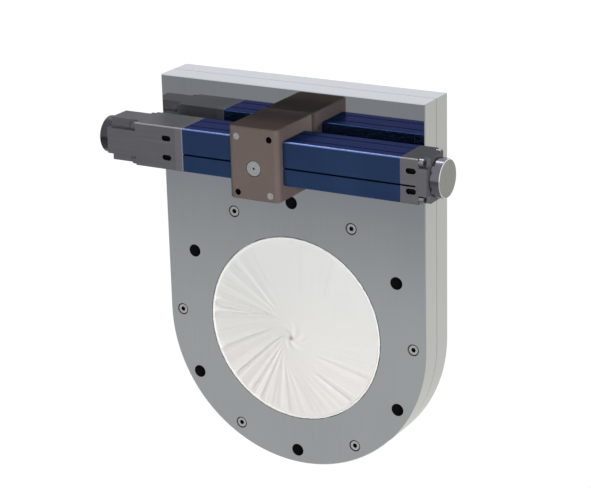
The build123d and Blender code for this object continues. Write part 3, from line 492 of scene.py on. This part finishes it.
def block_finish():
    """Taupe anodised gear block: a fine matt grain, painted shade in the tapped holes and a top painted
    darker as shade.
    """
    finish = Finish("block_anodised")
    place = finish.place()
    x, y, z = finish.axes(place)
    holes = [
        finish.below(diagonal(x - across, z - height), tapped_radius) for across, height in tapped_holes
    ]
    # Painted shade: the tapped holes are coloured near black
    dark = holes[0].at_least(holes[1]) * finish.above(y, block_low.y + 0.2 * MM)
    # Painted shade: the top is coloured darker, more so towards the rear
    painted_shade = finish.mask(y, block_low.y + 15 * MM, block_high.y - 12 * MM)
    painted_shade = painted_shade * finish.above(z, block_high.z - 0.4 * MM)
    grain = finish.noise(place, scale=900.0, detail=2.0)
    clouds = finish.noise(place, scale=22.0, detail=3.0)
    tone = finish.mask(grain * 0.3 + clouds * 0.7, 0.3, 0.72)
    taupe = finish.blend(tone, (0.14, 0.111, 0.102), (0.156, 0.124, 0.114))
    taupe = finish.blend(painted_shade, taupe, (0.084, 0.07, 0.067))
    return finish.surface(
        Base_Color=finish.blend(dark, taupe, (0.004, 0.004, 0.004)),
        Roughness=between(grain, 0.36, 0.48),
        Specular_IOR_Level=0.0,
        Normal=finish.bump(grain, distance=0.07 * MM, strength=0.25),
    )


def shaft_finish():
    """Turned drive shaft: fine rings round its axis, on the end that shows in the block."""
    finish = Finish("shaft_turned")
    place = finish.place()
    x, y, z = finish.axes(place)
    rings = rings_round(diagonal(x - shaft_middle.x, z - shaft_middle.z), 2.2 * MM)
    tone = rings * 0.6 + finish.noise(place, scale=400.0, detail=2.0) * 0.4
    steel = (0.66, 0.68, 0.65)
    return finish.surface(
        Base_Color=finish.blend(tone, shade(steel, 0.9), shade(steel, 1.06)),
        Metallic=1.0,
        Roughness=between(tone, 0.25, 0.4),
        Normal=finish.bump(rings, distance=0.06 * MM, strength=0.3),
    )


def moulded_finish(name, colour, roughness, grain_scale, gloss=0.4):
    """Rubber, sheet gasket or moulded plastic: matt, with a fine moulded grain."""
    finish = Finish(name)
    grain = finish.noise(finish.place(), scale=grain_scale, detail=3.0)
    return finish.surface(
        Base_Color=finish.blend(finish.mask(grain, 0.3, 0.75), shade(colour, 0.85), shade(colour, 1.1)),
        Roughness=between(grain, roughness * 0.85, roughness),
        Specular_IOR_Level=gloss,
        Normal=finish.bump(grain, distance=0.05 * MM, strength=0.3),
    )


def cloth_finish(name, lightest):
    """White woven cloth: crossing threads, soft slubs, painted light that makes it lighter and warmer low
    down, and painted shade where it gathers at the knot.
    """
    finish = Finish(name)
    place = finish.place()
    x, y, z = finish.axes(place)
    thread_turn = 2 * pi / (0.55 * MM)
    weave = (x * thread_turn).sine() * (z * thread_turn).sine() * 0.5 + 0.5
    slubs = finish.noise(finish.stretched(place, (240.0, 240.0, 900.0)), scale=1.0, detail=2.0)
    clouds = finish.noise(place, scale=16.0, detail=2.0)
    # Painted light: lighter and warmer towards the bottom, darker and greyer towards the top
    lower = (lightest * 1.06, lightest * 1.025, lightest * 0.985)
    upper = (lightest * 0.95, lightest * 0.952, lightest * 0.925)
    white = finish.blend(finish.mask(z + clouds * (40 * MM), -60 * MM, 95 * MM), lower, upper)
    slubbed = finish.blend(finish.mask(slubs, 0.35, 0.8) * 0.35, white, shade(upper, 0.97))
    # Painted shade: grey in the middle, where the cloth gathers into the knot
    gathered = 1.0 - finish.mask(diagonal(x - knot.x, z - knot.z), 0.6 * MM, 4.0 * MM)
    return finish.surface(
        Base_Color=finish.blend(gathered * 0.75, slubbed, (0.33, 0.27, 0.26)),
        Roughness=between(slubs, 0.72, 0.86),
        Specular_IOR_Level=0.25,
        Sheen_Weight=0.12,
        Sheen_Roughness=0.5,
        Normal=finish.bump(weave * 0.7 + slubs * 0.3, distance=0.18 * MM, strength=0.35),
    )


def make_finishes():
    """One finish for each material slot of the record."""
    return {
        "plate": plate_finish(),
        "gasket": moulded_finish("gasket_sheet", (0.035, 0.035, 0.037), 0.8, grain_scale=500.0, gloss=0.2),
        "steel": screw_finish(),
        "shaft_steel": shaft_finish(),
        "gear_metal": machined_finish("gear_steel", (0.42, 0.42, 0.43)),
        "slide_plastic": moulded_finish("slide_plastic", (0.75, 0.74, 0.68), 0.5, grain_scale=300.0),
        "bronze": machined_finish("bush_bronze", (0.55, 0.36, 0.16)),
        "seal_rubber": moulded_finish("seal_rubber", (0.02, 0.02, 0.02), 0.6, grain_scale=600.0),
        "block_finish": block_finish(),
        "barrel_blue": barrel_finish(),
        "cap_grey": cap_finish(),
        "piston_metal": machined_finish("piston_aluminium", (0.55, 0.55, 0.56)),
        "knob_metal": knob_finish(
            "knob_turned", side=(0.175, 0.167, 0.19), face=(0.37, 0.37, 0.36), rim=(0.95, 0.95, 0.94)
        ),
        "knob_dark": knob_finish(
            "knob_dark", side=(0.07, 0.069, 0.075), face=(0.14, 0.138, 0.142), rim=(0.3, 0.3, 0.3)
        ),
        "cloth": cloth_finish("sleeve_cloth", lightest=0.845),
    }


def dress_frame(finishes):
    """Gives every CAD node the finish of its material slot."""
    for row in frame["record"]["subparts"]:
        piece = frame["nodes"][row["node"]]
        for slot in piece.material_slots:
            slot.material = finishes[row["material_slot"]]


# Pleats of the front layer, as the photograph shows them: angle round the knot in degrees,
# width in degrees, height as a share of pleat_height, and the share of the way in where it fades
shown_pleats = [
    (61, 5.0, 0.35, 0.45),
    (84, 4.0, 0.15, 0.5),
    (118, 3.2, 0.25, 0.5),
    (131, 2.6, -0.3, 0.75),
    (135, 2.2, 0.22, 0.75),
    (142, 2.4, -0.32, 0.8),
    (147, 2.2, 0.26, 0.7),
    (153, 2.0, -0.42, 0.65),
    (158, 2.2, 0.55, 0.75),
    (164, 1.8, -1.35, 0.85),
    (168, 1.8, 1.2, 0.85),
    (172, 1.7, -1.45, 0.85),
    (176, 2.2, 0.9, 0.8),
    (185, 3.0, -0.35, 0.8),
    (197, 2.4, -0.8, 0.8),
    (201, 2.2, 0.45, 0.8),
    (209, 3.4, 0.26, 0.9),
    (216, 2.6, -0.8, 0.97),
    (220, 2.4, 0.42, 0.95),
    (228, 2.6, 0.25, 0.9),
    (232, 2.0, -0.45, 0.93),
    (236, 1.8, 0.3, 0.9),
    (240, 2.0, -0.45, 0.93),
    (244, 2.2, 0.3, 0.9),
    (250, 2.4, -0.3, 0.9),
    (257, 2.4, 0.22, 0.85),
    (264, 3.0, -0.28, 0.85),
    (271, 3.2, 0.18, 0.8),
    (284, 4.0, -0.25, 0.6),
    (300, 4.5, 0.3, 0.5),
    (317, 2.8, -0.7, 0.6),
    (322, 3.0, 0.45, 0.6),
    (339, 2.4, -0.65, 0.7),
    (343, 2.6, 0.45, 0.7),
    (358, 5.0, 0.2, 0.5),
    (15, 5.0, -0.15, 0.5),
    (36, 6.0, 0.15, 0.4),
]


def smooth(share):
    """Smooth step from 0 to 1."""
    held = min(1.0, max(0.0, share))
    return held * held * (3 - 2 * held)


def turn_between(first, second):
    """Smallest turn from second to first, in degrees."""
    return (first - second + 180) % 360 - 180


def small_pleats():
    """Faint pleats between the plain ones, a few degrees apart, strongest on the left and lower left."""
    draw = random.Random(11)
    pleats = []
    for step in range(72):
        angle = step * 5 + draw.uniform(-2, 2)
        quiet = 0.25 + 0.75 * smooth((abs(turn_between(angle, 50)) - 40) / 70)
        width = draw.uniform(1.6, 3.4)
        height = draw.uniform(-0.22, 0.22) * quiet
        pleats.append((angle, width, height, draw.uniform(0.5, 0.9)))
    return pleats


def swirl(angle, distance, twist):
    """How far a pleat that starts at angle has turned at a distance from the knot."""
    circle = swirl_circle + swirl_lobe * cos(3 * (angle - swirl_lobe_turn))
    return circle * twist / sqrt(distance**2 + swirl_core**2)


def rim_reach(angle, radius):
    """Distance from the knot to a circle about the bore's axis, along angle."""
    along = -(knot.x * cos(angle) + knot.z * sin(angle))
    return along + sqrt(radius**2 - knot.x**2 - knot.z**2 + along**2)


def front_relief():
    """Relief of the front layer: the pleats, flat at the hem, and a small gathered star at the knot."""
    pleats = shown_pleats + small_pleats()

    def relief(angle, share):
        folds = 0.0
        for middle, width, height, fade in pleats:
            offset = turn_between(angle, middle) / width
            offset *= steep_side if offset > 0 else gentle_side
            if abs(offset) < pleat_reach:
                reached = smooth((share - (1 - fade)) / fade_share)
                folds += pleat_height * height * exp(-offset * offset) * reached
        folds *= smooth((1 - share) / hem_share) * (0.35 + 0.65 * share)
        star = star_height * cos(radians(star_points * angle))
        star *= smooth((0.22 - share) / 0.16) * smooth(share / 0.05)
        return -(folds + star)

    return relief


def rear_relief():
    """Relief of the rear layer: deeper, more even folds of the twisted cloth."""
    draw = random.Random(5)
    waves = []
    for _ in range(6):
        waves.append((draw.choice((17, 22, 29, 36)), draw.uniform(0, 360), draw.uniform(0.25, 0.6)))

    def relief(angle, share):
        height = sum(rise * sin(radians(count * angle + phase)) for count, phase, rise in waves)
        return height * MM * smooth((1 - share) / 0.12) * smooth(share / 0.1)

    return relief


def grid_mesh(name, rows, closed_round=False, closed_across=False):
    """Smooth mesh through rows of points; it may close from last row to first, and across each row."""
    count = len(rows[0])
    row_steps = len(rows) if closed_round else len(rows) - 1
    point_steps = count if closed_across else count - 1
    faces = []
    for row in range(row_steps):
        here = row * count
        beside = (row + 1) % len(rows) * count
        for step in range(point_steps):
            following = (step + 1) % count
            faces.append((here + step, here + following, beside + following, beside + step))
    mesh = bpy.data.meshes.new(name)
    mesh.from_pydata([point for row in rows for point in row], [], faces)
    mesh.polygons.foreach_set("use_smooth", [True] * len(faces))
    mesh.update()
    return mesh


def add_object(name, data):
    """Links a new object to the scene."""
    made = bpy.data.objects.new(name, data)
    bpy.context.scene.collection.objects.link(made)
    return made


def add_cloth(name, mesh, finish):
    """Adds a piece of the sleeve, which rides on the housing and stands for the CAD sleeve."""
    piece = add_object(name, mesh)
    mesh.materials.append(finish)
    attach(piece, "root")
    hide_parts("iris_sleeve")
    return piece


def make_layer(label, finish, radius, rim_y, knot_y, bow, twist, relief, columns, rings):
    """A layer of the sleeve, made as separate gores.

    A higher bow keeps the layer flat for longer on its way from the rim to the knot.
    """

    def point(angle, share):
        """Point of the layer: share is 1 at the rim and 0 at the knot."""
        reach = rim_reach(angle, radius)
        distance = share * reach
        turned = angle - swirl(angle, distance, twist) + swirl(angle, reach, twist)
        depth = rim_y + (knot_y - rim_y) * (1 - share) ** bow
        depth += relief(degrees(angle) % 360, share)
        return Vector((knot.x + distance * cos(turned), depth, knot.z + distance * sin(turned)))

    # Rings of points lie closer together toward the knot
    crowding = 1.25
    shares = [(1 - ring / rings) ** crowding for ring in range(rings + 1)]
    gore_turn = 2 * pi / gore_count
    for number in range(gore_count):
        first = gore_turn * number
        angles = [first + gore_turn * column / columns for column in range(columns + 1)]
        name = f"sleeve_{label}_{number + 1:02d}"
        rows = [[point(angle, share) for share in shares] for angle in angles]
        piece = add_cloth(name, grid_mesh(name, rows), finish)
        rim = point(first + gore_turn / 2, 1.0)
        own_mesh(piece)


def make_bead(finish):
    """Hem in the mouth: the cloth rolled up, a little uneven, closed round the rim."""
    sides = 14
    steps = 360
    rows = []
    for step in range(steps):
        angle = 2 * pi * step / steps
        thick = bead_radius * (1 + 0.05 * sin(41 * angle) + 0.04 * sin(67 * angle + 1.0))
        row = []
        for side in range(sides):
            turn = 2 * pi * side / sides
            radius = bead_ring_radius + thick * cos(turn)
            row.append((radius * cos(angle), front_y + thick * sin(turn), radius * sin(angle)))
        rows.append(row)
    add_cloth("sleeve_bead", grid_mesh("sleeve_bead", rows, closed_round=True, closed_across=True), finish)


def make_lining(finish):
    """Cloth along the wall between the two hems, slightly waisted, which shows when the sleeve is open."""
    waist = ((-28.6, 0.2), (-32.0, 0.4), (-36.0, 0.5), (-40.0, 0.4), (-43.6, 0.0))
    profile = [(lining_radius - inset * MM, y * MM) for y, inset in waist]
    steps = 240
    angles = [2 * pi * step / steps for step in range(steps)]
    rows = [[(radius * cos(angle), y, radius * sin(angle)) for radius, y in profile] for angle in angles]
    add_cloth("sleeve_lining", grid_mesh("sleeve_lining", rows, closed_round=True), finish)


def make_sleeve(cloth):
    """The twisted sleeve: its pulled front layer, its rear layer, the hem in the mouth and the lining."""
    make_layer(
        "front",
        cloth,
        radius=front_rim_radius,
        rim_y=front_rim_y,
        knot_y=knot.y,
        bow=1.25,
        twist=1.0,
        relief=front_relief(),
        columns=54,
        rings=56,
    )
    make_layer(
        "rear",
        cloth,
        radius=rear_rim_radius,
        rim_y=rear_rim_y,
        knot_y=rear_knot_y,
        bow=1.1,
        twist=1.6,
        relief=rear_relief(),
        columns=18,
        rings=36,
    )
    # Painted highlight: the rolled hem gets a lighter copy of the sleeve's cloth
    make_bead(cloth_finish("hem_cloth_highlight", lightest=0.93))
    make_lining(cloth)


def camera_axes():
    """Right, up and back of the camera, with its roll."""
    level = Vector((cos(camera_azimuth), sin(camera_azimuth), 0.0))
    away = Vector((sin(camera_azimuth), -cos(camera_azimuth), 0.0))
    back = away * cos(camera_elevation) + Vector((0.0, 0.0, sin(camera_elevation)))
    right = level * cos(camera_roll) + back.cross(level) * sin(camera_roll)
    return right, back.cross(right), back


def make_camera():
    data = bpy.data.cameras.new("camera")
    data.lens = camera_lens
    data.sensor_width = camera_sensor
    camera = add_object("camera", data)
    right, up, back = camera_axes()
    turn = Matrix((right, up, back)).transposed().to_4x4()
    camera.matrix_world = Matrix.Translation(camera_target + back * camera_distance) @ turn
    bpy.context.scene.camera = camera


def make_lamp(name, place, target, size, power):
    """Soft rectangular lamp that looks at target."""
    data = bpy.data.lights.new(name, "AREA")
    data.shape = "RECTANGLE"
    data.size, data.size_y = size
    data.energy = power
    lamp = add_object(name, data)
    lamp.location = place
    lamp.rotation_euler = (Vector(target) - Vector(place)).to_track_quat("-Z", "Y").to_euler()
    return lamp


def make_world():
    """Soft light from all round, which looks white itself and pale in what mirrors it."""
    world = bpy.data.worlds.new("studio")
    bpy.context.scene.world = world
    sky = Finish("studio", world)
    light = sky.blend(sky.ray("Glossy"), (0.1, 0.1, 0.1), (0.845, 0.872, 0.92))
    seen = sky.ray("Camera").at_least(sky.ray("Transmission"))
    colour = sky.blend(seen, light, (1.0, 1.0, 1.0))
    background = sky.node("ShaderNodeBackground", None, {"Color": colour, "Strength": 1.0})
    sky.ends_in(background, "ShaderNodeOutputWorld")


def add_board(name, low, high, height, finish):
    """Level board of the studio, from its low corner to its high one, which isn't part of the valve."""
    mesh = bpy.data.meshes.new(name)
    corners = [(low[0], low[1], 0), (high[0], low[1], 0), (high[0], high[1], 0), (low[0], high[1], 0)]
    mesh.from_pydata(corners, [], [(0, 1, 2, 3)])
    mesh.materials.append(finish)
    board = add_object(name, mesh)
    board.location.z = height
    return board


def make_floor():
    """Plain pale floor: it looks white, and keeps a faint shadow of the valve."""
    pale = Finish("pale_floor")
    matt = pale.node("ShaderNodeBsdfDiffuse", None, {"Color": (0.8, 0.8, 0.8)})
    glow = pale.glow((1.0, 1.0, 1.0), 1.09)
    seen = pale.ray("Camera").at_least(pale.ray("Glossy")).at_least(pale.ray("Transmission"))
    pale.ends_in(pale.node("ShaderNodeMixShader", None, {0: seen * 0.88, 1: matt, 2: glow}))
    add_board("floor", (-9.0, -9.0), (9.0, 9.0), floor_z - 0.3 * MM, pale.material)


def make_grey_card(name, low, high, axis, start, end, first, last):
    """Grey card on the floor, seen only in what mirrors it, which goes from one grey to another."""
    grey = Finish(name)
    share = grey.mask(grey.axes(grey.place())[axis], start, end)
    grey.ends_in(grey.glow(grey.blend(share, first, last), 1.0))
    card = add_board(name, low, high, floor_z, grey.material)
    card.visible_camera = False
    card.visible_diffuse = False
    card.visible_transmission = False
    card.visible_shadow = False


def make_lamps():
    """Key lamp from the front right, a small one for gleams only, and a rear one that nothing mirrors."""
    middle = (0.0, -0.06, 0.06)
    drive = (0.0, -0.09, 0.2)
    make_lamp("key_lamp", (1.55, -2.35, 0.85), middle, size=(0.9, 0.7), power=66.0)
    edge_lamp = make_lamp("edge_lamp", (-0.76, 0.6, 1.56), drive, size=(0.45, 0.45), power=6.0)
    edge_lamp.visible_diffuse = False
    rear_lamp = make_lamp("rear_lamp", (-1.3, 2.4, 1.1), middle, size=(1.2, 0.9), power=46.0)
    rear_lamp.visible_glossy = False


def make_cards():
    """Cards before, beside and behind the housing, for its polished faces to mirror."""
    before = front_y - 0.5 * MM
    beside = housing_high.x + 0.5 * MM
    behind = rear_y + 1.0 * MM
    dark, middling = (0.272, 0.288, 0.312), (0.47, 0.487, 0.492)
    pale, paler = (0.62, 0.62, 0.585), (0.705, 0.705, 0.665)
    make_grey_card(
        "front_card", (-2.2, -3.2), (2.2, before), axis=1, start=-1.15, end=-0.3, first=dark, last=middling
    )
    pale_cards = {"side_card": ((beside, before), (2.6, 3.0)), "rear_card": ((-2.6, behind), (beside, 3.0))}
    for name, (low, high) in pale_cards.items():
        make_grey_card(name, low, high, axis=0, start=0.2, end=1.0, first=paler, last=pale)


finishes = make_finishes()
dress_frame(finishes)
make_sleeve(finishes["cloth"])
make_camera()
make_lamps()
make_world()
make_floor()
make_cards()
bpy.context.scene.view_settings.view_transform = "Standard"
